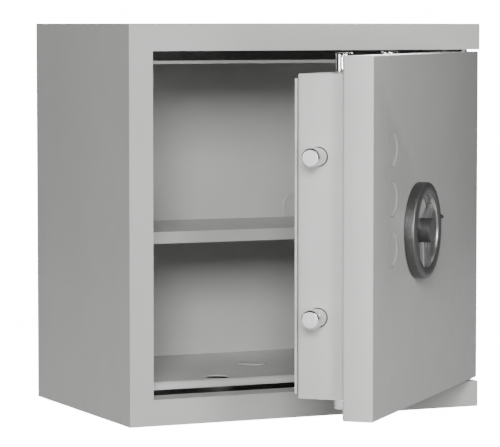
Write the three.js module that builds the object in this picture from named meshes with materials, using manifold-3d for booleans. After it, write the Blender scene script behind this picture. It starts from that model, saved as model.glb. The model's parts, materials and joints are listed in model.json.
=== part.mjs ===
// A small steel safe with its door open: casing, lining, shelf, hinge pins, door, bolt work and lock.
// Millimetres, +Z up. Inside the groups, x runs from the left side, y from the front face towards
// the back and z from the base; the door's pieces are drawn closed and turned open by one group.
import * as THREE from 'three';
import { mergeVertices } from 'three/addons/utils/BufferGeometryUtils.js';
import Module from 'manifold-3d';

const wasm = await Module();
wasm.setup();

// ---- driving dimensions -------------------------------------------------
const HEIGHT = 450;
const WIDTH = 442;
const DEPTH = 296;
const SHEET = 3;                   // casing plate
const LINING = 1.5;                // lining sheet
const GAP = 0.3;                   // air between two separate pieces
const RAIL = 30;                   // height of the top and bottom front rails
const JAMB = 28.6;                 // width of the left front jamb
const REBATE = 34;                 // depth of the rails' and the jamb's inner faces
const RIGHT_FRONT = 40;            // where the right wall starts, behind the door's edge
const RETURN = 6;                  // depth of the right wall's inner return
const LINING_FRONT = 50;           // front of the floor and ceiling noses
const LINING_BACK = 286;           // inner face of the rear lining
const FLOOR_Z = 42.5;
const CEILING_Z = 405;
const FILL_FRONT = 92;             // the filling starts behind the bolt pockets

const PIVOT_X = WIDTH - 14;
const PIVOT_Y = 15;
const OPENING = THREE.MathUtils.degToRad(45.7);
const PIN_RADIUS = 5;

const PANEL_THICK = 34.3;
const PANEL_GAP = 2.5;             // air above, below and beside the panel
const PANEL_X0 = JAMB + PANEL_GAP;
const PANEL_Z0 = RAIL + PANEL_GAP;
const PANEL_Z1 = HEIGHT - RAIL - PANEL_GAP;
const PANEL_PLATE = 4;
const PANEL_EDGE = 3;
const BACK_PLATE = 3;

const BOX_X0 = 50;
const BOX_X1 = WIDTH - BOX_X0;
const BOX_Z0 = 52;
const BOX_Z1 = HEIGHT - BOX_Z0;
const BOX_BACK = 90.7;
const BOX_SHEET = 2;
const COVER = 2.5;

const BOLT_RADIUS = 10;
const BOLT_Y = 67;                 // all six bolts lie in one plane
const BOLT_HALF_X = 83.5;          // top and bottom bolts, either side of the middle
const BOLT_HALF_Z = 85.5;          // side bolts, either side of mid height
const BOLT_LENGTH = 66;
const BOLT_CHAMFER = 1.5;
const SIDE_TIP_X = 22.5;
const TOP_TIP_Z = HEIGHT - RAIL - 0.7;
const BOTTOM_TIP_Z = RAIL + 0.7;
const MID_X = WIDTH / 2;
const MID_Z = HEIGHT / 2;
const POCKET_RADIUS = 15;          // keeper holes in the lining

const HANDLE_X = 193.4;
const HANDLE_Z = 224.3;
const RING_RADIUS = 52.9;
const RING_INNER = 41;
const RING_SHOULDER = 10.6;        // where the ring's outer wall turns in towards its front
const RING_FRONT = 13;             // front of the ring, proud of the door
const RING_FACE = 48.3;            // outer radius of the ring's flat front
const HUB_RADIUS = 13.5;
const HUB_BACK = 8.5;
const HUB_FRONT = 17.6;
const SPINDLE_RADIUS = 6;
const THROW = 20;                  // travel of every bolt
const CRANK = THROW / Math.SQRT2;  // pin circle that gives the throw in a quarter turn
const CRANK_PIN = 3;
const SIDE_PIN = 5;                // lengths of the crank pins
const CROSS_PIN = 9;
const DISC_RADIUS = 30;
const DISC_Y0 = 45;
const DISC_Y1 = 49;
const NOTCH_DEPTH = 9;             // the disc's two notches for the lock bolt
const NOTCH_HALF = 6.5;
const ARM = 3;                     // thickness of the carriers' arms
const SIDE_ARM_Y = 50;
const CROSS_ARM_Y = 54.5;
const BAR = 6;                     // carrier bar behind the bolts
const BAR_HALF_Y = 8;

const KEY_X = 272;
const KEY_Z = 216;
const KEY_BORE = 6;
const COVER_PIN_Z = 234;
const COVER_DROP = KEY_Z - COVER_PIN_Z;

// ---- helpers ------------------------------------------------------------
const steel = (name, color, roughness, metalness) =>
  Object.assign(new THREE.MeshStandardMaterial({ color, roughness, metalness }), { name });
const paint = () => steel('powder_coat', 0xb9bab7, 0.55, 0.0);
const chrome = () => steel('bright_steel', 0xd8d8d6, 0.18, 1.0);
const brushed = () => steel('brushed_steel', 0x8f8f8d, 0.35, 1.0);
const zinc = () => steel('zinc_plate', 0xa9a9a4, 0.45, 0.9);
const board = () => steel('fire_board', 0xb7b2a6, 0.95, 0.0);
const plastic = () => steel('grey_plastic', 0xa9aaa8, 0.6, 0.0);

function slab(x0, x1, y0, y1, z0, z1) {
  const box = new THREE.BoxGeometry(x1 - x0, y1 - y0, z1 - z0);
  return box.translate((x0 + x1) / 2, (y0 + y1) / 2, (z0 + z1) / 2);
}

// A round bar of profile [radius, along] about an axis through (a, b): x, y or z.
function turned(axis, profile, a, b, sides = 24) {
  const points = profile.map(([radius, along]) => new THREE.Vector2(radius, along));
  const lathe = new THREE.LatheGeometry(points, sides);      // about +Y
  if (axis === 'x') return lathe.rotateZ(-Math.PI / 2).translate(0, a, b);
  if (axis === 'z') return lathe.rotateX(Math.PI / 2).translate(a, b, 0);
  return lathe.translate(a, 0, b);
}

const rod = (axis, radius, from, to, a, b, sides = 24) =>
  turned(axis, [[0, from], [radius, from], [radius, to], [0, to]], a, b, sides);

const ring = (axis, inner, outer, from, to, a, b, sides = 24) =>
  turned(axis, [[inner, from], [outer, from], [outer, to], [inner, to], [inner, from]], a, b, sides);

function solid(geometry) {
  const bare = geometry.index ? geometry.toNonIndexed() : geometry.clone();
  bare.deleteAttribute('normal');
  bare.deleteAttribute('uv');
  const welded = mergeVertices(bare, 1e-4);
  const mesh = new wasm.Mesh({
    numProp: 3,
    vertProperties: welded.attributes.position.array,
    triVerts: new Uint32Array(welded.index.array),
  });
  const made = new wasm.Manifold(mesh);
  return made.volume() < 0 ? flipped(mesh) : made;
}

function flipped(mesh) {
  const triVerts = mesh.triVerts.slice();
  for (let i = 0; i < triVerts.length; i += 3) {
    [triVerts[i + 1], triVerts[i + 2]] = [triVerts[i + 2], triVerts[i + 1]];
  }
  return new wasm.Manifold(new wasm.Mesh({ numProp: 3, vertProperties: mesh.vertProperties, triVerts }));
}

function geometryOf(manifold) {
  const mesh = manifold.getMesh();
  const geometry = new THREE.BufferGeometry();
  geometry.setAttribute('position', new THREE.BufferAttribute(new Float32Array(mesh.vertProperties), 3));
  geometry.setIndex(new THREE.BufferAttribute(new Uint32Array(mesh.triVerts), 1));
  geometry.computeVertexNormals();
  return geometry;
}

const join = (...parts) => geometryOf(parts.map(solid).reduce((sum, part) => sum.add(part)));
const cut = (body, ...tools) =>
  geometryOf(tools.map(solid).reduce((left, tool) => left.subtract(tool), solid(body)));

// A bent sheet: the polyline (y, z) is its outer face, thickened to its right, run from x0 to x1.
function foldedSheet(path, thickness, x0, x1) {
  const inner = path.map(([y, z], i) => {
    const before = path[Math.max(i - 1, 0)];
    const after = path[Math.min(i + 1, path.length - 1)];
    const length = Math.hypot(after[0] - before[0], after[1] - before[1]);
    const shift = thickness / length;
    return [y + (after[1] - before[1]) * shift, z - (after[0] - before[0]) * shift];
  });
  const outline = [...path, ...inner.reverse()].map(([y, z]) => new THREE.Vector2(y, z));
  const run = new THREE.ExtrudeGeometry(
    new THREE.Shape(outline), { depth: x1 - x0, bevelEnabled: false });
  const axes = new THREE.Matrix4().makeBasis(
    new THREE.Vector3(0, 1, 0), new THREE.Vector3(0, 0, 1), new THREE.Vector3(1, 0, 0));
  return run.applyMatrix4(axes).translate(x0, 0, 0);
}

// Points of an arc in the (y, z) plane, angles in degrees.
function arc(y, z, radius, from, to, steps = 6) {
  return Array.from({ length: steps + 1 }, (_, i) => {
    const angle = THREE.MathUtils.degToRad(from + (to - from) * i / steps);
    return [y + radius * Math.cos(angle), z + radius * Math.sin(angle)];
  });
}

const safe = new THREE.Group();
safe.position.set(-MID_X, -DEPTH / 2, 0);
const doorTurn = new THREE.Group();
doorTurn.position.set(PIVOT_X, PIVOT_Y, 0);
doorTurn.rotation.z = OPENING;
const door = new THREE.Group();
door.position.set(-PIVOT_X, -PIVOT_Y, 0);
safe.add(doorTurn);
doorTurn.add(door);

function place(group, name, geometry, material) {
  const mesh = new THREE.Mesh(geometry, material);
  mesh.name = name;
  group.add(mesh);
  return mesh;
}

// ---- anchor positions ---------------------------------------------------
const REAR_ANCHOR_Z = 223;
const REAR_ANCHORS = { left: MID_X - 118, right: MID_X + 118 };
const FLOOR_ANCHOR = { x: 225, y: 165 };
const ANCHOR_BORE = 7;             // radius of the hole through the casing
const ANCHOR_WELL = 15;            // radius of the well through filling and lining

const rearBores = (radius, y0, y1) =>
  Object.values(REAR_ANCHORS).map((x) => rod('y', radius, y0, y1, x, REAR_ANCHOR_Z));
const floorBore = (radius, z0, z1) => rod('z', radius, z0, z1, FLOOR_ANCHOR.x, FLOOR_ANCHOR.y);

// ---- outer casing: folded and welded plate with hollow front rails -------
function casing() {
  const top = HEIGHT - RAIL;
  const right = WIDTH - JAMB;
  const plates = [
    slab(0, WIDTH, 0, DEPTH, 0, SHEET),
    slab(0, WIDTH, 0, DEPTH, HEIGHT - SHEET, HEIGHT),
    slab(0, SHEET, 0, DEPTH, 0, HEIGHT),
    slab(WIDTH - SHEET, WIDTH, RIGHT_FRONT, DEPTH, 0, HEIGHT),
    slab(0, WIDTH, DEPTH - SHEET, DEPTH, 0, HEIGHT),
    slab(0, WIDTH, 0, SHEET, 0, RAIL),                  // front rails and their inner faces
    slab(0, WIDTH, 0, REBATE, RAIL - SHEET, RAIL),
    slab(0, WIDTH, 0, SHEET, top, HEIGHT),
    slab(0, WIDTH, 0, REBATE, top, top + SHEET),
    slab(0, JAMB, 0, SHEET, 0, HEIGHT),                 // left jamb
    slab(JAMB - SHEET, JAMB, 0, REBATE, RAIL - SHEET, top + SHEET),
    slab(WIDTH - SHEET, WIDTH, 0, DEPTH, 0, RAIL),      // closed rail ends
    slab(WIDTH - SHEET, WIDTH, 0, DEPTH, top, HEIGHT),
    slab(right, WIDTH, RIGHT_FRONT, RIGHT_FRONT + SHEET, RAIL - SHEET, top + SHEET),
    slab(right, right + SHEET, RIGHT_FRONT, RIGHT_FRONT + RETURN, RAIL - SHEET, top + SHEET),
  ];
  return cut(join(...plates),
    ...rearBores(ANCHOR_BORE, DEPTH - 2 * SHEET, DEPTH + SHEET),
    floorBore(ANCHOR_BORE, -SHEET, 2 * SHEET),
    rod('z', PIN_RADIUS + GAP, SHEET, HEIGHT - SHEET, PIVOT_X, PIVOT_Y));
}
place(safe, 'outer_casing', casing(), paint());

// ---- lining -------------------------------------------------------------
const LINING_X0 = JAMB;
const LINING_X1 = WIDTH - JAMB;
const NOSE_X0 = LINING_X0 + 10;    // the noses stop short of the side lining
const NOSE_RADIUS = 7;
const bolts = { left: MID_X - BOLT_HALF_X, right: MID_X + BOLT_HALF_X };
const keeperHoles = (z0, z1) =>
  Object.values(bolts).map((x) => rod('z', POCKET_RADIUS, z0, z1, x, BOLT_Y + 4));

function floorLining() {
  const path = [
    ...arc(LINING_FRONT + NOSE_RADIUS, FLOOR_Z - NOSE_RADIUS, NOSE_RADIUS, 195, 90),
    [LINING_BACK - GAP, FLOOR_Z],
  ];
  const sheet = foldedSheet(path, LINING, NOSE_X0, LINING_X1 - GAP);
  const edge = slab(LINING_X0 + GAP, NOSE_X0 + 1, FILL_FRONT - 4, LINING_BACK - GAP,
    FLOOR_Z - LINING, FLOOR_Z);
  return cut(join(sheet, edge), ...keeperHoles(0, FLOOR_Z + 1), floorBore(ANCHOR_WELL, 0, FLOOR_Z + 1));
}

function ceilingLining() {
  const hem = 3.5;
  const high = CEILING_Z + LINING;
  const back = LINING_BACK - GAP;
  const sheet = slab(NOSE_X0, LINING_X1 - GAP, LINING_FRONT, back, CEILING_Z, high);
  const nose = slab(NOSE_X0, LINING_X1 - GAP, LINING_FRONT, LINING_FRONT + LINING,
    CEILING_Z, CEILING_Z + hem);
  const edge = slab(LINING_X0 + GAP, NOSE_X0 + 1, FILL_FRONT - 4, back, CEILING_Z, high);
  return cut(join(sheet, nose, edge), ...keeperHoles(CEILING_Z - 1, HEIGHT));
}

// The side lining reaches forward to the rebate; a small tab turns in at each front corner.
function sideLining(x0, x1, front, holes) {
  const low = RAIL + GAP;
  const high = HEIGHT - RAIL - GAP;
  const sheet = slab(x0, x1, front, LINING_BACK - GAP, low, high);
  return cut(sheet, ...holes);
}
const sideHeights = { upper: MID_Z + BOLT_HALF_Z, lower: MID_Z - BOLT_HALF_Z };
const PEG_Z = 192.2;
const PEG_YS = { front: 140, rear: 256 };
const PEG_RADIUS = 3;
const pegHoles = Object.values(PEG_YS).map((y) => rod('x', PEG_RADIUS + GAP, 0, WIDTH, y, PEG_Z, 16));
const sideHoles = Object.values(sideHeights).map((z) =>
  rod('x', BOLT_RADIUS + 3, 0, JAMB + 5, BOLT_Y, z));

function leftLining() {
  const holes = [...sideHoles, ...pegHoles];
  const sheet = sideLining(LINING_X0 - LINING, LINING_X0, REBATE + GAP, holes);
  const tabFront = LINING_FRONT - 3;
  const tab = (z0, z1) => slab(LINING_X0 - 1, NOSE_X0 - 1, tabFront, tabFront + LINING, z0, z1);
  return join(sheet, tab(RAIL + GAP, FLOOR_Z), tab(CEILING_Z, CEILING_Z + 4));
}

place(safe, 'liner_floor', floorLining(), paint());
place(safe, 'liner_ceiling', ceilingLining(), paint());
place(safe, 'liner_left', leftLining(), paint());
place(safe, 'liner_right',
  sideLining(LINING_X1, LINING_X1 + LINING, RIGHT_FRONT + RETURN + GAP, pegHoles), paint());
place(safe, 'liner_back', cut(
  slab(LINING_X0, LINING_X1, LINING_BACK, LINING_BACK + LINING, FLOOR_Z - LINING, CEILING_Z + LINING),
  ...rearBores(ANCHOR_WELL, LINING_BACK - 5, DEPTH)), paint());

// ---- fire-resistant filling, one board behind each lining ----------------
const fillBack = LINING_BACK + LINING + GAP;
const shellIn = SHEET + GAP;
const fillEnd = DEPTH - shellIn;
const fillLow = FLOOR_Z - LINING - GAP;
const fillHigh = CEILING_Z + LINING + GAP;
const leftFace = LINING_X0 - LINING - GAP;
const rightFace = LINING_X1 + LINING + GAP;
// A board between the side linings, with a thicker run at both ends where nothing stands in its way.
const fillAcross = (z0, z1) =>
  slab(leftFace + 2 * GAP + LINING, rightFace - 2 * GAP - LINING, FILL_FRONT, fillEnd, z0, z1);
place(safe, 'fill_top', fillAcross(fillHigh, HEIGHT - shellIn), board());
place(safe, 'fill_bottom',
  cut(fillAcross(shellIn, fillLow), floorBore(ANCHOR_WELL, 0, FLOOR_Z)), board());
place(safe, 'fill_left',
  cut(slab(shellIn, leftFace, FILL_FRONT, fillEnd, shellIn, HEIGHT - shellIn), ...pegHoles), board());
place(safe, 'fill_right',
  cut(slab(rightFace, WIDTH - shellIn, FILL_FRONT, fillEnd, shellIn, HEIGHT - shellIn), ...pegHoles),
  board());
place(safe, 'fill_back', cut(
  slab(LINING_X0, LINING_X1, fillBack, fillEnd, fillLow + GAP, fillHigh - GAP),
  ...rearBores(ANCHOR_WELL, LINING_BACK, DEPTH)), board());

// ---- shelf on four pegs --------------------------------------------------
const SHELF_TOP = 209.2;
const SHELF_FOLD = 13.7;
const SHELF_FRONT = 112;
const SHELF_SHEET = 1.5;

function shelf() {
  const x0 = LINING_X0 + 1;
  const x1 = LINING_X1 - 1;
  const back = LINING_BACK - 2;
  const low = SHELF_TOP - SHELF_FOLD;
  const tray = cut(
    slab(x0, x1, SHELF_FRONT, back, low, SHELF_TOP),
    slab(x0 + SHELF_SHEET, x1 - SHELF_SHEET, SHELF_FRONT + SHELF_SHEET, back - SHELF_SHEET,
      low - 1, SHELF_TOP - SHELF_SHEET));
  return join(tray, slab(x0, x1, SHELF_FRONT, SHELF_FRONT + 10, low, low + SHELF_SHEET));
}
place(safe, 'shelf', shelf(), paint());

for (const [depth, y] of Object.entries(PEG_YS)) {
  const reach = 12;
  place(safe, `shelf_peg_left_${depth}`,
    rod('x', PEG_RADIUS, LINING_X0 - reach, LINING_X0 + reach, y, PEG_Z, 16), zinc());
  place(safe, `shelf_peg_right_${depth}`,
    rod('x', PEG_RADIUS, LINING_X1 - reach, LINING_X1 + reach, y, PEG_Z, 16), zinc());
}

// ---- plastic caps over the anchor wells ----------------------------------
const CAP_RADIUS = 17.5;
const CAP_THICK = 1.6;
const CAP_EDGE = 0.6;
const CAP_STEM = 8;
const STEM_OUTER = ANCHOR_WELL - 1;
const STEM_INNER = ANCHOR_WELL - 3;
for (const [side, x] of Object.entries(REAR_ANCHORS)) {
  const face = LINING_BACK - GAP;
  const end = DEPTH - shellIn - 1;
  place(safe, `rear_anchor_cap_${side}`, turned('y', [
    [0, face - CAP_THICK], [CAP_RADIUS - 1, face - CAP_THICK], [CAP_RADIUS, face - CAP_EDGE],
    [CAP_RADIUS, face], [STEM_OUTER, face], [STEM_OUTER, end], [STEM_INNER, end],
    [STEM_INNER, face], [0, face],
  ], x, REAR_ANCHOR_Z), plastic());
}
const capFace = FLOOR_Z + GAP;
place(safe, 'floor_anchor_cap', turned('z', [
  [0, capFace], [STEM_INNER, capFace], [STEM_INNER, capFace - CAP_STEM],
  [STEM_OUTER, capFace - CAP_STEM], [STEM_OUTER, capFace], [CAP_RADIUS, capFace],
  [CAP_RADIUS, capFace + CAP_EDGE], [CAP_RADIUS - 1, capFace + CAP_THICK], [0, capFace + CAP_THICK],
], FLOOR_ANCHOR.x, FLOOR_ANCHOR.y), plastic());

// ---- hinge pins, washers and bushes --------------------------------------
const PIN_HEAD = 9;
const PIN_HEAD_THICK = 4;
const PIN_IN_DOOR = 18;
const WASHER_RADIUS = 10;
const lowSeat = RAIL - SHEET - GAP;
const lowEnd = PANEL_Z0 + PIN_IN_DOOR;
place(safe, 'hinge_pin_bottom', turned('z', [
  [0, lowSeat - PIN_HEAD_THICK], [PIN_HEAD, lowSeat - PIN_HEAD_THICK], [PIN_HEAD, lowSeat],
  [PIN_RADIUS, lowSeat], [PIN_RADIUS, lowEnd], [0, lowEnd],
], PIVOT_X, PIVOT_Y), zinc());
const highSeat = HEIGHT - lowSeat;
const highEnd = HEIGHT - lowEnd;
place(safe, 'hinge_pin_top', turned('z', [
  [0, highEnd], [PIN_RADIUS, highEnd], [PIN_RADIUS, highSeat], [PIN_HEAD, highSeat],
  [PIN_HEAD, highSeat + PIN_HEAD_THICK], [0, highSeat + PIN_HEAD_THICK],
], PIVOT_X, PIVOT_Y), zinc());
place(safe, 'hinge_washer',
  ring('z', PIN_RADIUS + GAP, WASHER_RADIUS, RAIL + GAP, PANEL_Z0 - GAP, PIVOT_X, PIVOT_Y), zinc());

const BUSH_OUTER = 8;
const BUSH_LENGTH = 24;
const BUSH_SET = 0.2;              // how far a bush sits inside the panel's edge
const bush = (z0, z1) => ring('z', PIN_RADIUS + GAP, BUSH_OUTER, z0, z1, PIVOT_X, PIVOT_Y);
place(door, 'hinge_bush_bottom', bush(PANEL_Z0 + BUSH_SET, PANEL_Z0 + BUSH_LENGTH), zinc());
place(door, 'hinge_bush_top', bush(PANEL_Z1 - BUSH_LENGTH, PANEL_Z1 - BUSH_SET), zinc());

// ---- door panel: a tray with its edges folded back ------------------------
const spindleBore = (radius) => rod('y', radius, -5, 100, HANDLE_X, HANDLE_Z);
const keyBore = (radius) => rod('y', radius, -5, 60, KEY_X, KEY_Z);
const bushBore = rod('z', BUSH_OUTER + GAP, 0, HEIGHT, PIVOT_X, PIVOT_Y);
const DISC_HEIGHTS = [317.3, 264.9, 210.3];
const DISC_X = 98.4;
const BLANK_RADIUS = 19.3;
const BLANK_SEAT = 1;              // depth of the round seat in the panel
const BLANK_PROUD = 0.8;
const BLANK_EDGE = 1.6;

place(door, 'door_panel', cut(
  slab(PANEL_X0, WIDTH, 0, PANEL_THICK, PANEL_Z0, PANEL_Z1),
  slab(PANEL_X0 + PANEL_EDGE, WIDTH - PANEL_EDGE, PANEL_PLATE, PANEL_THICK + 1,
    PANEL_Z0 + PANEL_EDGE, PANEL_Z1 - PANEL_EDGE),
  spindleBore(SPINDLE_RADIUS + GAP), keyBore(KEY_BORE), bushBore,
  ...DISC_HEIGHTS.map((z) => rod('y', BLANK_RADIUS + GAP, -1, BLANK_SEAT, DISC_X, z))), paint());

const trayX0 = PANEL_X0 + PANEL_EDGE + GAP;
const trayX1 = WIDTH - PANEL_EDGE - GAP;
const trayZ0 = PANEL_Z0 + PANEL_EDGE + GAP;
const trayZ1 = PANEL_Z1 - PANEL_EDGE - GAP;
const plateY0 = PANEL_THICK - BACK_PLATE;
place(door, 'door_fill', cut(
  slab(trayX0, trayX1, PANEL_PLATE + GAP, plateY0 - GAP, trayZ0, trayZ1),
  spindleBore(SPINDLE_RADIUS + 2), keyBore(KEY_BORE), bushBore), board());
place(door, 'door_back_plate', cut(
  slab(trayX0, trayX1, plateY0, PANEL_THICK, trayZ0, trayZ1),
  spindleBore(SPINDLE_RADIUS + GAP), keyBore(KEY_BORE)), paint());

DISC_HEIGHTS.forEach((z, i) => {
  place(door, `blanking_disc_${i + 1}`, turned('y', [
    [0, -BLANK_PROUD], [BLANK_RADIUS - BLANK_EDGE, -BLANK_PROUD], [BLANK_RADIUS, 0.1],
    [BLANK_RADIUS, BLANK_SEAT - GAP], [0, BLANK_SEAT - GAP],
  ], DISC_X, z), paint());
});

// ---- bolt box on the back of the door -------------------------------------
const boxY0 = PANEL_THICK + GAP;
const boltHole = BOLT_RADIUS + 2 * GAP;
const boltHoles = [
  ...Object.values(sideHeights).map((z) => rod('x', boltHole, 0, BOX_X0 + 10, BOLT_Y, z)),
  ...Object.values(bolts).map((x) => rod('z', boltHole, 0, HEIGHT, x, BOLT_Y)),
];
place(door, 'bolt_box', cut(
  slab(BOX_X0, BOX_X1, boxY0, BOX_BACK, BOX_Z0, BOX_Z1),
  slab(BOX_X0 + BOX_SHEET, BOX_X1 - BOX_SHEET, boxY0 - 1, BOX_BACK + 1,
    BOX_Z0 + BOX_SHEET, BOX_Z1 - BOX_SHEET),
  ...boltHoles), paint());

const SCREW_INSET = 14;
const SCREW_RADIUS = 2.4;
const SCREW_LENGTH = 16;
const SCREW_HEAD = 4.6;
const SCREW_BORE = 2.8;
const SCREW_POST = 5;
const COVER_INSET = 5;             // how far the cover stops short of the box, top and bottom
const screwPlaces = [BOX_X0 + SCREW_INSET, BOX_X1 - SCREW_INSET].flatMap((x) =>
  [BOX_Z0 + SCREW_INSET, BOX_Z1 - SCREW_INSET].map((z) => [x, z]));
const coverY0 = BOX_BACK + GAP;
place(door, 'rear_cover', cut(
  slab(BOX_X0 + 0.5, BOX_X1 - 0.5, coverY0, coverY0 + COVER, BOX_Z0 + COVER_INSET, BOX_Z1 - COVER_INSET),
  ...screwPlaces.map(([x, z]) => rod('y', SCREW_BORE, BOX_BACK - 1, BOX_BACK + 2 * COVER, x, z, 16))),
  paint());

screwPlaces.forEach(([x, z], i) => {
  const seat = coverY0 + COVER + GAP;
  place(door, `cover_post_${i + 1}`,
    ring('y', SCREW_BORE, SCREW_POST, boxY0, BOX_BACK, x, z, 16), zinc());
  place(door, `cover_screw_${i + 1}`, turned('y', [
    [0, seat - SCREW_LENGTH], [SCREW_RADIUS, seat - SCREW_LENGTH], [SCREW_RADIUS, seat],
    [SCREW_HEAD, seat], [SCREW_HEAD - 0.4, seat + 1.8], [SCREW_HEAD - 2, seat + 2.6], [0, seat + 2.6],
  ], x, z, 16), zinc());
});

// ---- bolts ----------------------------------------------------------------
// dir is +1 when the tip is the high end of the bolt.
function bolt(axis, tip, dir, a, b) {
  const foot = tip - dir * BOLT_LENGTH;
  const neck = tip - dir * BOLT_CHAMFER;
  const profile = [[0, foot], [BOLT_RADIUS, foot], [BOLT_RADIUS, neck],
    [BOLT_RADIUS - BOLT_CHAMFER, tip], [0, tip]];
  return turned(axis, dir > 0 ? profile : profile.reverse(), a, b);
}
for (const [level, z] of Object.entries(sideHeights)) {
  place(door, `side_bolt_${level}`, bolt('x', SIDE_TIP_X, -1, BOLT_Y, z), chrome());
}
for (const [side, x] of Object.entries(bolts)) {
  place(door, `top_bolt_${side}`, bolt('z', TOP_TIP_Z, 1, x, BOLT_Y), chrome());
  place(door, `bottom_bolt_${side}`, bolt('z', BOTTOM_TIP_Z, -1, x, BOLT_Y), chrome());
}

// ---- carriers: a bar behind each pair of bolts and an arm to the crank disc --
const slotHalf = CRANK_PIN + 1;
const bars = { low: BOLT_Y - BAR_HALF_Y, high: BOLT_Y + BAR_HALF_Y };
const BAR_PAST = 12;               // how far a bar runs past its bolts' axes
const TAB_HALF = 7;
const CROSS_HALF = 9;
const SIDE_ARM_HEIGHT = 10;

function sideCarrier() {
  const foot = SIDE_TIP_X + BOLT_LENGTH + GAP;
  const pinX = HANDLE_X - THROW / 2;
  const armZ = HANDLE_Z + CRANK + slotHalf;
  const armTop = armZ + SIDE_ARM_HEIGHT;
  const armBack = SIDE_ARM_Y + ARM;
  const bar = slab(foot, foot + BAR, bars.low, bars.high,
    sideHeights.lower - BAR_PAST, sideHeights.upper + BAR_PAST);
  const web = slab(foot, foot + BAR, SIDE_ARM_Y, bars.low + 1, armZ, armTop);
  const arm = slab(foot, pinX + TAB_HALF, SIDE_ARM_Y, armBack, armZ, armTop);
  const tab = slab(pinX - TAB_HALF, pinX + TAB_HALF, SIDE_ARM_Y, armBack, HANDLE_Z + 3, armZ + 1);
  const slot = slab(pinX - slotHalf, pinX + slotHalf, SIDE_ARM_Y - 1, armBack + 1,
    HANDLE_Z + 2, HANDLE_Z + CRANK + slotHalf - 0.1);
  return cut(join(bar, web, arm, tab), slot);
}

const rise = (a, b) => [Math.min(a, b), Math.max(a, b)];

// side is +1 for the top pair and -1 for the bottom pair.
function crossCarrier(side, tip) {
  const foot = tip - side * (BOLT_LENGTH + GAP);
  const pinX = HANDLE_X + side * THROW / 2;
  const pinZ = HANDLE_Z + side * THROW / 2;
  const armX = [pinX - CROSS_HALF, pinX + CROSS_HALF];
  const armBack = CROSS_ARM_Y + ARM;
  const barZ = rise(foot, foot - side * BAR);
  const bar = slab(bolts.left - BAR_PAST, bolts.right + BAR_PAST, bars.low, bars.high, ...barZ);
  const web = slab(...armX, CROSS_ARM_Y, bars.low + 1, ...barZ);
  const arm = slab(...armX, CROSS_ARM_Y, armBack, ...rise(foot, pinZ - side * TAB_HALF));
  const slotX = rise(pinX - side * slotHalf, pinX + side * (CRANK - THROW / 2 + slotHalf));
  const slot = slab(...slotX, CROSS_ARM_Y - 1, armBack + 1, pinZ - slotHalf, pinZ + slotHalf);
  return cut(join(bar, web, arm), slot);
}
place(door, 'side_bolt_carrier', sideCarrier(), zinc());
place(door, 'top_bolt_carrier', crossCarrier(1, TOP_TIP_Z), zinc());
place(door, 'bottom_bolt_carrier', crossCarrier(-1, BOTTOM_TIP_Z), zinc());

// ---- crank disc: three pins a quarter turn apart, two notches for the lock --
function crankDisc() {
  const pinAt = (degrees, length) => {
    const angle = THREE.MathUtils.degToRad(degrees);
    return rod('y', CRANK_PIN, DISC_Y1 - 1, DISC_Y1 + length,
      HANDLE_X + CRANK * Math.cos(angle), HANDLE_Z + CRANK * Math.sin(angle), 16);
  };
  const disc = join(rod('y', DISC_RADIUS, DISC_Y0, DISC_Y1, HANDLE_X, HANDLE_Z, 32),
    pinAt(135, SIDE_PIN), pinAt(45, CROSS_PIN), pinAt(225, CROSS_PIN));
  return cut(disc, spindleBore(SPINDLE_RADIUS + GAP),
    slab(HANDLE_X + DISC_RADIUS - NOTCH_DEPTH, HANDLE_X + DISC_RADIUS + 2, DISC_Y0 - 1, DISC_Y1 + 1,
      HANDLE_Z - NOTCH_HALF, HANDLE_Z + NOTCH_HALF),
    slab(HANDLE_X - NOTCH_HALF, HANDLE_X + NOTCH_HALF, DISC_Y0 - 1, DISC_Y1 + 1,
      HANDLE_Z + DISC_RADIUS - NOTCH_DEPTH, HANDLE_Z + DISC_RADIUS + 2));
}
place(door, 'crank_disc', crankDisc(), zinc());
place(door, 'handle_spindle',
  rod('y', SPINDLE_RADIUS, -HUB_BACK + GAP, DISC_Y1, HANDLE_X, HANDLE_Z), zinc());
const CLIP_RADIUS = 10;
const CLIP_THICK = 1.7;
place(door, 'spindle_clip',
  ring('y', SPINDLE_RADIUS + GAP, CLIP_RADIUS, boxY0, boxY0 + CLIP_THICK, HANDLE_X, HANDLE_Z), zinc());

// ---- handle: an open ring on a three-spoked hub ---------------------------
const SPOKES = [275, 155, 35];
const SPOKE_Y0 = -8.2;
const SPOKE_Y1 = -3.6;
const SPOKE_HALF = 5;
const RING_BACK = 0.8;             // air between the ring and the panel
function hub() {
  const drum = rod('y', HUB_RADIUS, -HUB_FRONT, SPOKE_Y1, HANDLE_X, HANDLE_Z, 32);
  const spokes = SPOKES.map((degrees) =>
    slab(HUB_RADIUS - 4, RING_INNER - 3 * GAP, SPOKE_Y0, SPOKE_Y1, -SPOKE_HALF, SPOKE_HALF)
      .rotateY(-THREE.MathUtils.degToRad(degrees)).translate(HANDLE_X, 0, HANDLE_Z));
  return cut(join(drum, ...spokes),
    rod('y', SPINDLE_RADIUS + GAP, -HUB_BACK, 0, HANDLE_X, HANDLE_Z));
}
place(door, 'handle_ring', turned('y', [
  [RING_INNER, -RING_FRONT], [RING_FACE, -RING_FRONT], [RING_RADIUS, -RING_SHOULDER],
  [RING_RADIUS, -RING_BACK], [RING_INNER, -RING_BACK], [RING_INNER, -RING_FRONT],
], HANDLE_X, HANDLE_Z, 48), brushed());
place(door, 'handle_hub', hub(), brushed());

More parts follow.
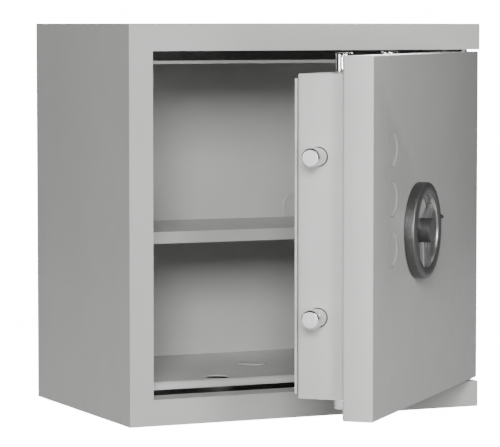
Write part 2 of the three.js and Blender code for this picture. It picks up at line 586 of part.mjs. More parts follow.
// ---- lock -------------------------------------------------------------------
const LOCK_X0 = 238;
const LOCK_X1 = 306;
const LOCK_Z0 = 180;
const LOCK_Z1 = 252;
const LOCK_Y1 = 58;
const LOCK_WALL = 2.5;
const LOCK_BOLT_HALF = 6;
const LOCK_LID = 2;
const CAM_RADIUS = 8;
const CAM_PIN = 2;
const CAM_OFFSET = 4;              // the cam pin's offset both ways, for 8 mm in a quarter turn
const TAIL_Z0 = HANDLE_Z - 22;
place(door, 'lock_case', cut(
  slab(LOCK_X0, LOCK_X1, boxY0, LOCK_Y1, LOCK_Z0, LOCK_Z1),
  slab(LOCK_X0 + LOCK_WALL, LOCK_X1 - LOCK_WALL, boxY0 + LOCK_WALL, LOCK_Y1 + 1,
    LOCK_Z0 + LOCK_WALL, LOCK_Z1 - LOCK_WALL),
  slab(LOCK_X0 - 1, LOCK_X0 + 4, DISC_Y0 - GAP, DISC_Y1 + GAP,
    HANDLE_Z - LOCK_BOLT_HALF - GAP, HANDLE_Z + LOCK_BOLT_HALF + GAP),
  keyBore(KEY_BORE)), zinc());
place(door, 'lock_cover',
  slab(LOCK_X0, LOCK_X1, LOCK_Y1 + GAP, LOCK_Y1 + GAP + LOCK_LID, LOCK_Z0, LOCK_Z1), zinc());

function lockBolt() {
  const tip = HANDLE_X + DISC_RADIUS + 2;
  const pinX = KEY_X + CAM_OFFSET;
  const half = CAM_PIN + 0.8;
  const top = HANDLE_Z + LOCK_BOLT_HALF;
  const nose = slab(tip, LOCK_X0 + 14, DISC_Y0, DISC_Y1, HANDLE_Z - LOCK_BOLT_HALF, top);
  const tail = slab(LOCK_X0 + 12, pinX + 8, DISC_Y0, DISC_Y1, TAIL_Z0, top);
  const slot = slab(pinX - half, pinX + half, DISC_Y0 - 1, DISC_Y1 + 1, TAIL_Z0 + 3, top - 3);
  return cut(join(nose, tail), slot);
}
place(door, 'lock_bolt', lockBolt(), zinc());

place(door, 'lock_cam', join(
  rod('y', CAM_RADIUS, boxY0 + LOCK_WALL + GAP, DISC_Y0 - GAP, KEY_X, KEY_Z),
  rod('y', CAM_PIN, DISC_Y0 - 2, DISC_Y1 + 1, KEY_X + CAM_OFFSET, KEY_Z - CAM_OFFSET, 12)), zinc());

// ---- keyhole cover, hanging on its pin -------------------------------------
const COVER_PLATE = 1.8;
const COVER_TOP_RADIUS = 7;
const COVER_LOW_RADIUS = 10;
const COVER_PIN = 2;
const pinCollarY = -GAP - COVER_PLATE - GAP;
function keyholeCover() {
  const plate = new THREE.Shape();
  plate.absarc(0, 0, COVER_TOP_RADIUS, 0, Math.PI, false);
  plate.lineTo(-COVER_LOW_RADIUS, COVER_DROP);
  plate.absarc(0, COVER_DROP, COVER_LOW_RADIUS, Math.PI, 2 * Math.PI, false);
  plate.closePath();
  const run = new THREE.ExtrudeGeometry(
    plate, { depth: COVER_PLATE, bevelEnabled: false, curveSegments: 12 });
  return cut(run.rotateX(Math.PI / 2).translate(KEY_X, -GAP, COVER_PIN_Z),
    rod('y', COVER_PIN + GAP, -10, 5, KEY_X, COVER_PIN_Z, 16));
}
place(door, 'keyhole_cover', keyholeCover(), paint());
place(door, 'keyhole_pin', turned('y', [
  [0, -7], [1.2, -7], [1.8, -6.4], [1.8, pinCollarY - 1.7], [4, pinCollarY - 1.7], [4, pinCollarY],
  [COVER_PIN, pinCollarY], [COVER_PIN, -GAP / 2], [0, -GAP / 2],
], KEY_X, COVER_PIN_Z, 16), chrome());

export default safe;
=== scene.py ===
import json
import math

import bmesh
import bpy
from mathutils import Matrix, Vector


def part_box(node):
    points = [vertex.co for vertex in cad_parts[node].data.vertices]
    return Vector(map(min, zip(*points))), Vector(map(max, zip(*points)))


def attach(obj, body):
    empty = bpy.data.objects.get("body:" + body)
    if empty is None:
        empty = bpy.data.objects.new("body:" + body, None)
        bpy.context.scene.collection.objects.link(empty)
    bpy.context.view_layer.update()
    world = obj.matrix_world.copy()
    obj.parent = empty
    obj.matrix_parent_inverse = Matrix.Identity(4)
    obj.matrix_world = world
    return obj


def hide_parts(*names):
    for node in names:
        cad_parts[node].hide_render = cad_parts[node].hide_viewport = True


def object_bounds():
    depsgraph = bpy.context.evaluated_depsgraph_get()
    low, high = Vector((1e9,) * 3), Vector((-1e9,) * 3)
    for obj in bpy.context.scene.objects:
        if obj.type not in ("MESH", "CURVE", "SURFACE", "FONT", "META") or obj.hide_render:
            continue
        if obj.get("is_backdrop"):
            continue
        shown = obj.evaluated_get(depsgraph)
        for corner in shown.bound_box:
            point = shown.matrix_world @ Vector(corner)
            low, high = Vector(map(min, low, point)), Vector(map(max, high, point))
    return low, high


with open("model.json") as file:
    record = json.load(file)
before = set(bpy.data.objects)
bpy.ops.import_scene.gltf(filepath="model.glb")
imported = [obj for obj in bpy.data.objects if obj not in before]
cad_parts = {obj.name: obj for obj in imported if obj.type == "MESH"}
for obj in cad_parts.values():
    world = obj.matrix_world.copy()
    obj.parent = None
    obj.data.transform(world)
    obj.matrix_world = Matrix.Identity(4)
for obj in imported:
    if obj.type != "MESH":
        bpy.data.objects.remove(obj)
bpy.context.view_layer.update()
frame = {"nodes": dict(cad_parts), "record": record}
nodes = frame["nodes"]
MM = 0.001


# ---- where things are -------------------------------------------------------
joints = {j["name"]: j for j in frame["record"]["behaviour"]["joints"]}
pivot = Vector(joints["door_swing"]["pos_m"])
OPENING = -math.radians(joints["door_swing"]["range_deg"][0])
# Turns the closed door, in which its pieces are drawn square, to the open door of the frame.
DOOR = Matrix.Translation(pivot) @ Matrix.Rotation(OPENING, 4, "Z") @ Matrix.Translation(-pivot)
SHUT = DOOR.inverted()


def shut_box(node):
    """Lowest and highest corner of one of the door's CAD nodes with the door shut."""
    points = [SHUT @ v.co for v in nodes[node].data.vertices]
    low = Vector([min(p[i] for p in points) for i in range(3)])
    high = Vector([max(p[i] for p in points) for i in range(3)])
    return low, high


# ---- materials --------------------------------------------------------------
def material(name, color, rough, metal=0.0):
    mat = bpy.data.materials.new(name)
    mat.use_nodes = True
    shader = mat.node_tree.nodes["Principled BSDF"]
    shader.inputs["Base Color"].default_value = (*color, 1)
    shader.inputs["Roughness"].default_value = rough
    shader.inputs["Metallic"].default_value = metal
    return mat, mat.node_tree, shader


def add(tree, kind, **values):
    node = tree.nodes.new(kind)
    for key, value in values.items():
        if key in node.inputs:
            node.inputs[key].default_value = value
        else:
            setattr(node, key, value)
    return node


def noise(tree, coords, scale, detail=2.0, rough=0.5):
    node = add(tree, "ShaderNodeTexNoise", Scale=scale, Detail=detail, Roughness=rough)
    tree.links.new(coords, node.inputs["Vector"])
    return node.outputs["Fac"]


def ramp(tree, fac, low, high, at=(0.3, 0.7)):
    """Spreads fac between two greys or colours."""
    node = add(tree, "ShaderNodeValToRGB")
    tree.links.new(fac, node.inputs["Fac"])
    ends = node.color_ramp.elements
    for end, place, value in zip(ends, at, (low, high)):
        end.position = place
        end.color = (*value, 1) if isinstance(value, tuple) else (value, value, value, 1)
    return node.outputs["Color"]


def bump(tree, shader, height, strength, distance):
    node = add(tree, "ShaderNodeBump", Strength=strength, Distance=distance)
    tree.links.new(height, node.inputs["Height"])
    tree.links.new(node.outputs["Normal"], shader.inputs["Normal"])


def object_coords(tree):
    return add(tree, "ShaderNodeTexCoord").outputs["Object"]


def shade(color, factor):
    return tuple(c * factor for c in color)


def powder_coat(name, color, rough=0.42):
    """Satin powder coat: a fine orange peel, a faint cloud in the colour and in the gloss."""
    mat, tree, shader = material(name, color, rough)
    coords = object_coords(tree)
    cloud = noise(tree, coords, 9.0, 3.0, 0.55)
    tree.links.new(ramp(tree, cloud, shade(color, 0.97), shade(color, 1.03)), shader.inputs["Base Color"])
    gloss = noise(tree, coords, 55.0, 2.0)
    tree.links.new(ramp(tree, gloss, rough - 0.04, rough + 0.05), shader.inputs["Roughness"])
    peel = noise(tree, coords, 900.0, 2.0, 0.4)
    bump(tree, shader, peel, 0.10, 0.0004)
    return mat


def cast_grain(name, color, rough, metal, low, high, scale=140.0, strength=0.12):
    """Dull plated, moulded or pressed surface: speckled colour, uneven gloss, fine grain."""
    mat, tree, shader = material(name, color, rough, metal)
    coords = object_coords(tree)
    speck = noise(tree, coords, scale, 5.0, 0.65)
    tree.links.new(ramp(tree, speck, shade(color, low), shade(color, high)), shader.inputs["Base Color"])
    gloss = noise(tree, coords, scale * 0.4, 3.0)
    tree.links.new(ramp(tree, gloss, rough - 0.08, min(rough + 0.1, 1.0)), shader.inputs["Roughness"])
    bump(tree, shader, noise(tree, coords, scale * 6, 3.0), strength, 0.0004)
    return mat


def turned_metal(name, color, rough, spread, scale, strength, metal=1.0):
    """Metal finished on a lathe: fine lines round the object's own Z axis."""
    mat, tree, shader = material(name, color, rough, metal)
    split = add(tree, "ShaderNodeSeparateXYZ")
    tree.links.new(object_coords(tree), split.inputs[0])
    plane = add(tree, "ShaderNodeCombineXYZ")
    tree.links.new(split.outputs["X"], plane.inputs["X"])
    tree.links.new(split.outputs["Y"], plane.inputs["Y"])
    radius = add(tree, "ShaderNodeVectorMath", operation="LENGTH")
    tree.links.new(plane.outputs[0], radius.inputs[0])
    rings = add(tree, "ShaderNodeCombineXYZ")
    tree.links.new(radius.outputs["Value"], rings.inputs["X"])
    tree.links.new(split.outputs["Z"], rings.inputs["Z"])
    lines = noise(tree, rings.outputs[0], scale, 4.0, 0.7)
    tree.links.new(ramp(tree, lines, shade(color, 0.86), shade(color, 1.1)), shader.inputs["Base Color"])
    tree.links.new(ramp(tree, lines, rough - spread, rough + spread), shader.inputs["Roughness"])
    bump(tree, shader, lines, strength, 0.0002)
    return mat


GREY = (0.50, 0.505, 0.492)
coat = powder_coat("powder_coat", GREY)
liner_coat = powder_coat("liner_coat", shade(GREY, 1.13), 0.46)
chrome = turned_metal("bright_steel", (0.82, 0.82, 0.81), 0.13, 0.05, 900.0, 0.05)
brushed = turned_metal("brushed_steel", (0.15, 0.15, 0.149), 0.34, 0.05, 1500.0, 0.05)
brushed.node_tree.nodes["Principled BSDF"].inputs["Anisotropic"].default_value = 0.85
dark_face = turned_metal("ring_face", (0.075, 0.075, 0.075), 0.45, 0.06, 1200.0, 0.10, 0.25)
polished = turned_metal("polished_wall", (0.52, 0.52, 0.515), 0.30, 0.04, 700.0, 0.03)
bolt_face = turned_metal("bolt_nose", (0.66, 0.66, 0.65), 0.40, 0.05, 900.0, 0.05, 0.35)
spoke_metal = cast_grain("spoke_enamel", (0.26, 0.26, 0.26), 0.42, 0.6, 0.95, 1.08, 260.0, 0.05)
hub_dark = cast_grain("hub_enamel", (0.035, 0.035, 0.036), 0.5, 0.0, 0.92, 1.12, 300.0, 0.05)
hub_face = cast_grain("hub_cap", (0.085, 0.085, 0.086), 0.5, 0.0, 0.92, 1.12, 300.0, 0.05)
zinc = cast_grain("zinc_plate", (0.45, 0.45, 0.44), 0.38, 0.9, 0.8, 1.15, 110.0, 0.08)
board = cast_grain("fire_board", (0.17, 0.168, 0.162), 0.92, 0.0, 0.85, 1.1, 160.0, 0.4)
plastic = cast_grain("grey_plastic", (0.53, 0.535, 0.52), 0.46, 0.0, 0.97, 1.03, 240.0, 0.06)
slot_materials = {
    "powder_coat": coat, "bright_steel": chrome, "brushed_steel": brushed, "zinc_plate": zinc,
    "fire_board": board, "grey_plastic": plastic,
}


# ---- CAD nodes that stay ------------------------------------------------------
def smooth(obj, angle=32):
    for polygon in obj.data.polygons:
        polygon.use_smooth = True
    obj.data.set_sharp_from_angle(angle=math.radians(angle))


def soften(node, width, segments=3):
    """Rounds a CAD node's edges: coplanar triangles merge first, so that the bevel stays clean."""
    obj = nodes[node]
    for polygon in obj.data.polygons:
        polygon.use_smooth = True
    flat = obj.modifiers.new("flat", "DECIMATE")
    flat.decimate_type = "DISSOLVE"
    flat.angle_limit = math.radians(1.0)
    edge = obj.modifiers.new("edge", "BEVEL")
    edge.width = width
    edge.segments = segments
    edge.limit_method = "ANGLE"
    edge.angle_limit = math.radians(35)
    edge.harden_normals = True


for entry in frame["record"]["subparts"]:
    kept = nodes[entry["node"]]
    kept.data.materials.clear()
    lined = entry["node"].startswith("liner_")
    kept.data.materials.append(liner_coat if lined else slot_materials[entry["material_slot"]])
    smooth(kept)

for name, width in {
    "outer_casing": 1.1, "liner_floor": 0.5, "liner_ceiling": 0.4, "liner_left": 0.3, "liner_right": 0.3,
    "liner_back": 0.3, "shelf": 0.6, "rear_cover": 0.8, "door_back_plate": 0.4,
}.items():
    soften(name, width * MM)


# ---- new pieces ---------------------------------------------------------------
def piece(name, bm, mats, body, stands_for, place=None):
    mesh = bpy.data.meshes.new(name)
    bm.to_mesh(mesh)
    bm.free()
    for mat in mats:
        mesh.materials.append(mat)
    obj = bpy.data.objects.new(name, mesh)
    bpy.context.scene.collection.objects.link(obj)
    obj.matrix_world = place if place is not None else Matrix.Identity(4)
    smooth(obj)
    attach(obj, body)
    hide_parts(*stands_for)
    return obj


def block(low, high):
    bm = bmesh.new()
    bmesh.ops.create_cube(bm, size=1)
    for vert in bm.verts:
        vert.co = Vector([low[i] if vert.co[i] < 0 else high[i] for i in range(3)])
    return bm


def round_edges(bm, radius, chosen, segments=4):
    """Rounds the edges that chosen(middle, direction) picks."""
    edges = []
    for edge in bm.edges:
        start, end = (v.co for v in edge.verts)
        if chosen((start + end) / 2, (end - start).normalized()):
            edges.append(edge)
    bmesh.ops.bevel(bm, geom=edges, offset=radius, segments=segments, profile=0.5, affect="EDGES")


def carve(bm, *tools):
    """bm with the tools' solids cut out of it, as a new bmesh."""
    def staged(source, name):
        mesh = bpy.data.meshes.new(name)
        source.to_mesh(mesh)
        source.free()
        obj = bpy.data.objects.new(name, mesh)
        bpy.context.scene.collection.objects.link(obj)
        return obj

    body = staged(bm, "carved")
    cutters = [staged(tool, "cutter") for tool in tools]
    for cutter in cutters:
        step = body.modifiers.new("cut", "BOOLEAN")
        step.operation = "DIFFERENCE"
        step.solver = "EXACT"
        step.object = cutter
    graph = bpy.context.evaluated_depsgraph_get()
    result = bmesh.new()
    result.from_object(body, graph)
    for obj in [body, *cutters]:
        bpy.data.objects.remove(obj, do_unlink=True)
    return result


def lathe(profile, sides=96, closed=False, zones=None):
    """Turns (radius, along) points round Z. zones gives the material of each step of the profile."""
    bm = bmesh.new()
    rows = []
    for radius, along in profile:
        if radius < 1e-9:
            rows.append([bm.verts.new((0, 0, along))])
            continue
        rows.append([
            bm.verts.new((radius * math.cos(a), radius * math.sin(a), along))
            for a in (2 * math.pi * i / sides for i in range(sides))
        ])
    steps = list(zip(rows, rows[1:] + rows[:1])) if closed else list(zip(rows, rows[1:]))
    for index, (one, two) in enumerate(steps):
        for i in range(sides):
            j = (i + 1) % sides
            corners = [one[i % len(one)], one[j % len(one)], two[j % len(two)], two[i % len(two)]]
            face = bm.faces.new(list(dict.fromkeys(corners)))
            if zones:
                face.material_index = zones[index]
    bmesh.ops.recalc_face_normals(bm, faces=bm.faces)
    return bm


def rounded(points, radii, steps=4):
    """A profile with some of its corners rounded: radii gives one radius per point, 0 for none."""
    out = []
    for i, (point, radius) in enumerate(zip(points, radii)):
        here = Vector(point)
        if radius == 0 or i in (0, len(points) - 1):
            out.append(tuple(here))
            continue
        back = (Vector(points[i - 1]) - here).normalized()
        ahead = (Vector(points[i + 1]) - here).normalized()
        half = back.angle(ahead) / 2
        reach = radius / math.tan(half)
        middle = here + (back + ahead).normalized() * radius / math.sin(half)
        start, end = here + back * reach - middle, here + ahead * reach - middle
        turn = start.angle_signed(end)
        for k in range(steps + 1):
            a = -turn * k / steps
            out.append(tuple(middle + Vector((
                start.x * math.cos(a) - start.y * math.sin(a),
                start.x * math.sin(a) + start.y * math.cos(a)))))
    return out


def facing(centre, toward):
    """A place whose own Z axis runs from centre along toward, in the closed door or the cabinet."""
    return Matrix.Translation(centre) @ Vector(toward).to_track_quat("Z", "Y").to_matrix().to_4x4()


def hole(radius, centre, along, length, sides=64):
    """A round cutter through centre."""
    bm = bmesh.new()
    bmesh.ops.create_cone(bm, cap_ends=True, segments=sides, radius1=radius, radius2=radius,
                          depth=length, matrix=facing(centre, along))
    return bm


def centre_of(node):
    low, high = shut_box(node)
    return (low + high) / 2


# Door panel: a folded tray, with soft edges behind and crisper ones in front.
BACK_EDGE = 3.0 * MM
FRONT_EDGE = 1.3 * MM
PANEL_SKIN = 4.0 * MM
TRAY_SLACK = 0.3 * MM
SEAT_SLACK = 0.35 * MM
SEAT_DEPTH = 1.0 * MM
KEYHOLE_RADIUS = 6.0 * MM
KEYHOLE_UP = 10 * MM               # above the lowest point of its cover
SPINDLE_HOLE = 6.3 * MM
HINGE_HOLE = 8.3 * MM
THROUGH = 20 * MM
HINGE_DEPTH = 25 * MM
FACE = 1e-6                        # how near an edge lies to the face that it belongs to
panel_low, panel_high = shut_box("door_panel")
plate_low, plate_high = shut_box("door_back_plate")
DISH_RIM = 0.4 * MM
DISH_WIDTH = 4.0 * MM
DISH_DEPTH = 0.8 * MM
disc_names = ["blanking_disc_1", "blanking_disc_2", "blanking_disc_3"]
disc_radius = (shut_box(disc_names[0])[1].x - shut_box(disc_names[0])[0].x) / 2
hub_centre = centre_of("handle_spindle")

panel = block(panel_low, panel_high)
round_edges(panel, BACK_EDGE, lambda mid, way: mid.y > panel_high.y - FACE, 5)
round_edges(panel, FRONT_EDGE, lambda mid, way: mid.y < panel_low.y + FACE, 4)
tray = block(
    (plate_low.x - TRAY_SLACK, panel_low.y + PANEL_SKIN, plate_low.z - TRAY_SLACK),
    (plate_high.x + TRAY_SLACK, panel_high.y + 5 * MM, plate_high.z + TRAY_SLACK))
front = panel_low.y
cover_low, cover_high = shut_box("keyhole_cover")
key_spot = Vector(((cover_low.x + cover_high.x) / 2, front, cover_low.z + KEYHOLE_UP))
cutters = [tray]
for disc in disc_names:
    spot = centre_of(disc)
    cutters.append(hole(disc_radius + SEAT_SLACK, (spot.x, front, spot.z), (0, 1, 0), 2 * SEAT_DEPTH))
cutters.append(hole(KEYHOLE_RADIUS, key_spot, (0, 1, 0), THROUGH))
cutters.append(hole(SPINDLE_HOLE, (hub_centre.x, front, hub_centre.z), (0, 1, 0), THROUGH))
for end in (panel_low.z, panel_high.z):
    cutters.append(hole(HINGE_HOLE, (pivot.x, pivot.y, end), (0, 0, 1), 2 * HINGE_DEPTH))
piece("door_shell", carve(panel, *cutters), [coat], "door", ["door_panel"], DOOR)

# Blanking discs: flush with the panel at the rim, dished towards the middle.
for disc in disc_names:
    low, high = shut_box(disc)
    rim = high.y - front
    spot = Vector(((low.x + high.x) / 2, high.y, (low.z + high.z) / 2))
    crest = rim + 0.05 * MM
    dish = [
        (disc_radius - DISH_RIM - DISH_WIDTH * t, crest - DISH_DEPTH * (3 * t * t - 2 * t ** 3))
        for t in (i / 8 for i in range(9))
    ]
    profile = [(0, 0), (disc_radius, 0), (disc_radius, rim - 0.1 * MM), (disc_radius - 0.15 * MM, crest),
               *dish, (0, dish[-1][1])]
    piece(disc + "_face", lathe(profile), [coat], "door", [disc],
          DOOR @ facing(spot, (0, -1, 0)))

# Bolt box: a bent frame with rounded corners and a hole for each bolt.
BEND = 3.2 * MM
SHEET = 2.0 * MM
BOLT_HOLE = 10.6 * MM
BOLT_REACH = 110 * MM
box_low, box_high = shut_box("bolt_box")
shell = block(box_low, box_high)
round_edges(shell, BEND, lambda mid, way: mid.y > box_high.y - FACE or abs(way.z) > 0.9, 5)
inside = block((box_low.x + SHEET, box_low.y - 5 * MM, box_low.z + SHEET),
               (box_high.x - SHEET, box_high.y + 5 * MM, box_high.z - SHEET))
bolt_names = {
    "side_bolt_upper": ("side_bolts", (-1, 0, 0)), "side_bolt_lower": ("side_bolts", (-1, 0, 0)),
    "top_bolt_left": ("top_bolts", (0, 0, 1)), "top_bolt_right": ("top_bolts", (0, 0, 1)),
    "bottom_bolt_left": ("bottom_bolts", (0, 0, -1)), "bottom_bolt_right": ("bottom_bolts", (0, 0, -1)),
}
bolt_holes = []
for bolt, (body, way) in bolt_names.items():
    bolt_holes.append(hole(BOLT_HOLE, centre_of(bolt), way, BOLT_REACH))
piece("box_frame", carve(shell, inside, *bolt_holes), [coat], "door", ["bolt_box"], DOOR)

# Bolts: turned bars with a chamfered nose and a shallow groove round it.
NOSE = 1.5 * MM
GROOVE_START = 4.4 * MM            # behind the nose
GROOVE_END = 5.2 * MM
GROOVE_FLANK = 0.2 * MM
GROOVE_DEPTH = 0.25 * MM
CENTRE_MARK = 0.4 * MM
for bolt, (body, way) in bolt_names.items():
    low, high = shut_box(bolt)
    size = high - low
    length = max(size)
    radius = sorted(size)[0] / 2
    foot = (low + high) / 2 - Vector(way) * length / 2
    profile = rounded(
        [(0, 0), (radius, 0), (radius, length - GROOVE_END),
         (radius - GROOVE_DEPTH, length - GROOVE_END + GROOVE_FLANK),
         (radius - GROOVE_DEPTH, length - GROOVE_START - GROOVE_FLANK), (radius, length - GROOVE_START),
         (radius, length - NOSE), (radius - NOSE, length), (radius * 0.35, length),
         (radius * 0.3, length - CENTRE_MARK), (0, length - CENTRE_MARK)],
        [0, 0.5 * MM, 0, 0, 0, 0, 0.6 * MM, 0.6 * MM, 0, 0, 0])
    zones = [0] * (len(profile) - 4) + [1] * 3
    piece(bolt + "_bar", lathe(profile, 96, False, zones), [chrome, bolt_face], body, [bolt],
          DOOR @ facing(foot, way))

# Handle ring: brushed outside with a soft shoulder, dark front face, polished inner wall.
ring_low, ring_high = shut_box("handle_ring")
ring_outer = (ring_high.x - ring_low.x) / 2
ring_depth = ring_high.y - ring_low.y
RING_INNER = 41.0 * MM
RING_FACE = 48.3 * MM              # outer radius of the flat front
SHOULDER_DROP = 2.4 * MM           # how far back the rounded shoulder reaches
SHOULDER_STEPS = 8
handle_spot = Vector(((ring_low.x + ring_high.x) / 2, ring_high.y, (ring_low.z + ring_high.z) / 2))
HANDLE = DOOR @ facing(handle_spot, (0, -1, 0))
shoulder = [
    (RING_FACE + (ring_outer - RING_FACE) * math.cos(a), ring_depth - SHOULDER_DROP * (1 - math.sin(a)))
    for a in (math.pi / 2 * i / SHOULDER_STEPS for i in range(1, SHOULDER_STEPS))
]
ring_points = [
    (RING_INNER + 0.4 * MM, 0), (ring_outer - 0.3 * MM, 0), (ring_outer, 0.4 * MM),
    (ring_outer, ring_depth - 2.6 * MM), *shoulder, (RING_FACE, ring_depth),
    (RING_INNER + 1.4 * MM, ring_depth - 0.25 * MM), (RING_INNER + 0.5 * MM, ring_depth - 0.7 * MM),
    (RING_INNER, ring_depth - 1.6 * MM), (RING_INNER, ring_depth - 6.0 * MM),
]
RING_MATERIALS = [brushed, dark_face, polished]
ring_zones = [0] * 4 + [1] * (len(shoulder) + 3) + [2] * 2
piece("ring_rim", lathe(ring_points, 128, True, ring_zones), RING_MATERIALS,
      "handle", ["handle_ring"], HANDLE)

# Hub: a dark drum with a flat front and three tapered spokes.
hub_low, hub_high = shut_box("handle_hub")
hub_depth = handle_spot.y - hub_low.y
spoke_back = handle_spot.y - hub_high.y
HUB_RADIUS = 13.5 * MM
BORE_RADIUS = 6.3 * MM             # for the spindle
BORE_DEPTH = 4.9 * MM
HUB_CHAMFER = 0.9 * MM
drum = rounded(
    [(BORE_RADIUS, spoke_back), (HUB_RADIUS, spoke_back), (HUB_RADIUS, hub_depth - HUB_CHAMFER),
     (HUB_RADIUS - HUB_CHAMFER, hub_depth), (0, hub_depth)], [0, 0.4 * MM, 0.5 * MM, 0.5 * MM, 0])
profile = [(0, spoke_back + BORE_DEPTH), (BORE_RADIUS, spoke_back + BORE_DEPTH), *drum]
zones = [0] * (len(profile) - 2) + [1]
piece("hub_drum", lathe(profile, 96, False, zones), [hub_dark, hub_face], "handle",
      ["handle_hub"], HANDLE)


SPOKE_START = 10.0 * MM
SPOKE_END = 41.2 * MM
SPOKE_HALF = 5.0 * MM
SPOKE_DEPTH = 4.6 * MM
SPOKE_TAPER = 0.82
SPOKES = {"spoke_down": 275, "spoke_left": 155, "spoke_right": 35}      # degrees, seen from the front


def spoke(angle):
    """A tapered bar from the drum to the ring, rounded on its front."""
    crown = spoke_back + SPOKE_DEPTH
    bm = block((SPOKE_START, -SPOKE_HALF, spoke_back), (SPOKE_END, SPOKE_HALF, crown))
    for vert in bm.verts:
        if vert.co.x > SPOKE_END / 2:
            vert.co.y *= SPOKE_TAPER
    round_edges(bm, 1.3 * MM, lambda mid, way: mid.z > crown - 0.1 * MM and abs(way.x) > 0.9, 4)
    bmesh.ops.rotate(bm, verts=bm.verts, matrix=Matrix.Rotation(angle, 3, "Z"))
    return bm


for name, degrees in SPOKES.items():
    # the handle's own X axis is found from its place, so that the angle is the one seen from the front
    along = Vector((math.cos(math.radians(degrees)), 0, math.sin(math.radians(degrees))))
    local = (facing(handle_spot, (0, -1, 0)).to_3x3().inverted() @ along)
    piece(name, spoke(math.atan2(local.y, local.x)), [spoke_metal], "handle",
          ["handle_hub"], HANDLE)

# Keyhole cover: a pressed teardrop on a shouldered pin.
soften("keyhole_cover", 0.5 * MM, 3)
pin_low, pin_high = shut_box("keyhole_pin")
pin_length = pin_high.y - pin_low.y
pin_spot = Vector(((pin_low.x + pin_high.x) / 2, pin_high.y, (pin_low.z + pin_high.z) / 2))
STUD_SHANK = 2.0 * MM
STUD_COLLAR = 4.0 * MM
STUD_NECK = 1.8 * MM
COLLAR_BACK = 2.25 * MM
COLLAR_FRONT = 3.95 * MM
profile = rounded(
    [(0, 0), (STUD_SHANK, 0), (STUD_SHANK, COLLAR_BACK), (STUD_COLLAR, COLLAR_BACK),
     (STUD_COLLAR, COLLAR_FRONT), (STUD_NECK, COLLAR_FRONT), (STUD_NECK, pin_length - 0.6 * MM),
     (1.2 * MM, pin_length), (0, pin_length)],
    [0, 0, 0, 0.3 * MM, 0.6 * MM, 0.3 * MM, 0.2 * MM, 0.2 * MM, 0])
piece("keyhole_stud", lathe(profile, 48), [hub_dark], "door", ["keyhole_pin"],
      DOOR @ facing(pin_spot, (0, -1, 0)))

# Screws of the rear cover: pan heads with a hexagon socket.
SCREW_SHANK = 2.4 * MM
HEAD_RADIUS = 4.6 * MM
HEAD_HEIGHT = 2.6 * MM
SOCKET_RADIUS = 1.6 * MM
SOCKET_DEPTH = 1.5 * MM
for i in range(1, 5):
    name = f"cover_screw_{i}"
    low, high = shut_box(name)
    length = high.y - low.y
    spot = Vector(((low.x + high.x) / 2, low.y, (low.z + high.z) / 2))
    head = length - HEAD_HEIGHT
    profile = rounded(
        [(0, 0), (2.2 * MM, 0), (SCREW_SHANK, 0.4 * MM), (SCREW_SHANK, head), (HEAD_RADIUS, head),
         (HEAD_RADIUS, head + 1.2 * MM), (2.9 * MM, length), (0, length)],
        [0, 0, 0, 0, 0.2 * MM, 0.9 * MM, 0.5 * MM, 0])
    socket = hole(SOCKET_RADIUS, (0, 0, length), (0, 0, 1), 2 * SOCKET_DEPTH, 6)
    piece(name + "_pan", carve(lathe(profile, 48), socket), [zinc], "door", [name],
          DOOR @ facing(spot, (0, 1, 0)))

# Caps over the anchor wells: shallow discs with a rolled edge.
STEM_INNER = 12.0 * MM
STEM_OUTER = 14.0 * MM
CAP_RADIUS = 17.5 * MM
CAP_THICK = 1.6 * MM
for cap, way in {"rear_anchor_cap_left": (0, -1, 0), "rear_anchor_cap_right": (0, -1, 0),
                 "floor_anchor_cap": (0, 0, 1)}.items():
    low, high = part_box(cap)
    axis = 1 if way[1] else 2
    length = high[axis] - low[axis]
    middle = (low + high) / 2
    foot = middle - Vector(way) * length / 2
    stem = length - CAP_THICK
    profile = rounded(
        [(STEM_INNER, 0), (STEM_OUTER, 0), (STEM_OUTER, stem), (CAP_RADIUS, stem),
         (CAP_RADIUS, length - 0.9 * MM), (16.2 * MM, length), (15.0 * MM, length),
         (14.2 * MM, length - 0.35 * MM), (0, length - 0.35 * MM)],
        [0, 0.3 * MM, 0, 0.2 * MM, 0.5 * MM, 0.4 * MM, 0.3 * MM, 0.3 * MM, 0])
    inner = [(0, stem), (STEM_INNER, stem)]
    piece(cap + "_disc", lathe([*inner, *profile], 96), [plastic], "cabinet", [cap],
          facing(foot, way))


# ---- floor, light and camera ---------------------------------------------------
def backdrop(name, bm, emission, in_reflections=False):
    """White surroundings that only the camera sees, or only reflections: they cast no diffuse light."""
    mesh = bpy.data.meshes.new(name)
    bm.to_mesh(mesh)
    bm.free()
    mat, tree, shader = material(name, (0, 0, 0), 0.8)
    shader.inputs["Emission Color"].default_value = (1, 1, 1, 1)
    shader.inputs["Emission Strength"].default_value = emission
    mesh.materials.append(mat)
    obj = bpy.data.objects.new(name, mesh)
    obj.visible_diffuse = False
    obj.visible_glossy = in_reflections
    obj.visible_camera = not in_reflections
    obj.visible_shadow = False
    bpy.context.scene.collection.objects.link(obj)
    obj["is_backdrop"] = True
    return obj


def area_light(name, azimuth, elevation, distance, size, power, target=(0, -0.05, 0.22)):
    """A soft light on the same compass as the views: azimuth 0 stands in front, positive to the right."""
    a, e = math.radians(azimuth), math.radians(elevation)
    target = Vector(target)
    out = Vector((math.sin(a) * math.cos(e), -math.cos(a) * math.cos(e), math.sin(e)))
    data = bpy.data.lights.new(name, "AREA")
    data.shape = "RECTANGLE"
    data.size, data.size_y = size
    data.energy = power
    obj = bpy.data.objects.new(name, data)
    obj.location = target + out * distance
    obj.rotation_euler = out.to_track_quat("Z", "Y").to_euler()
    obj.visible_camera = False
    bpy.context.scene.collection.objects.link(obj)


ground = bmesh.new()
bmesh.ops.create_grid(ground, x_segments=1, y_segments=1, size=8)
backdrop("floor", ground, 16.0).location.z = -0.0005
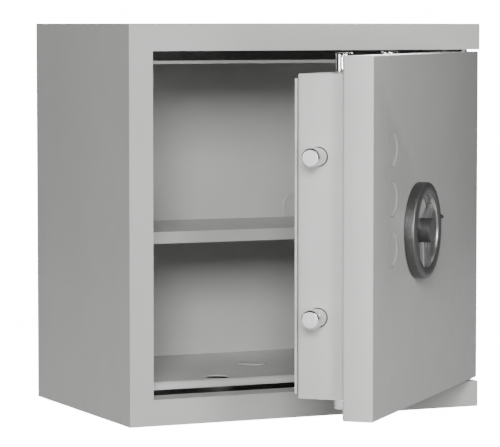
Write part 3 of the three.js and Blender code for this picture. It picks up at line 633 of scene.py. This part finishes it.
# Reflections, those in the paint's gloss included, also pick up a white floor and one bright window.
sheen = bmesh.new()
bmesh.ops.create_grid(sheen, x_segments=1, y_segments=1, size=1.6)
backdrop("floor_in_reflections", sheen, 0.9, True).location.z = -0.001
window = block((-0.2, 0, -0.22), (0.2, 0.02, 0.22))
glint = backdrop("window_in_reflections", window, 45.0, True)
glint.location = (-2.12, -2.12, 0.12)
glint.rotation_euler.z = math.radians(-45)
dome = bmesh.new()
bmesh.ops.create_uvsphere(dome, u_segments=32, v_segments=16, radius=13)
backdrop("white_dome", dome, 16.0)

# azimuth, elevation, distance, (width, height), watts
LAMPS = {
    "key": (-27, 19, 3.4, (0.8, 1.0), 98),
    "front": (0, 19, 3.4, (0.8, 1.0), 32),
    "front_low": (0, 1, 3.4, (0.8, 1.0), 32),
    "side": (-82, 5, 3.0, (0.9, 1.2), 27),
    "high": (-20, 40, 3.0, (0.8, 0.5), 7),
    "rear": (145, 15, 3.4, (0.8, 1.0), 70),
}
for name, settings in LAMPS.items():
    area_light(name, *settings)
WORLD = 0.01
WORLD_IN_METAL = 0.06

world = bpy.data.worlds.new("studio")
world.use_nodes = True
tree = world.node_tree
background = tree.nodes["Background"]
background.inputs["Color"].default_value = (1, 1, 1, 1)
rays = add(tree, "ShaderNodeLightPath")
level = add(tree, "ShaderNodeMix", data_type="FLOAT")
level.inputs["A"].default_value = WORLD
level.inputs["B"].default_value = WORLD_IN_METAL
tree.links.new(rays.outputs["Is Glossy Ray"], level.inputs["Factor"])
tree.links.new(level.outputs["Result"], background.inputs["Strength"])
bpy.context.scene.world = world

camera_data = bpy.data.cameras.new("camera")
camera_data.lens = 205.7
camera_data.sensor_width = 36.0
camera_data.clip_end = 60
camera = bpy.data.objects.new("camera", camera_data)
camera.location = (-1.40987, -3.0847, 0.45781)
camera.rotation_euler = (math.pi / 2 - 0.07216, 0.0, -0.42692)
bpy.context.scene.collection.objects.link(camera)
bpy.context.scene.camera = camera

low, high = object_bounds()
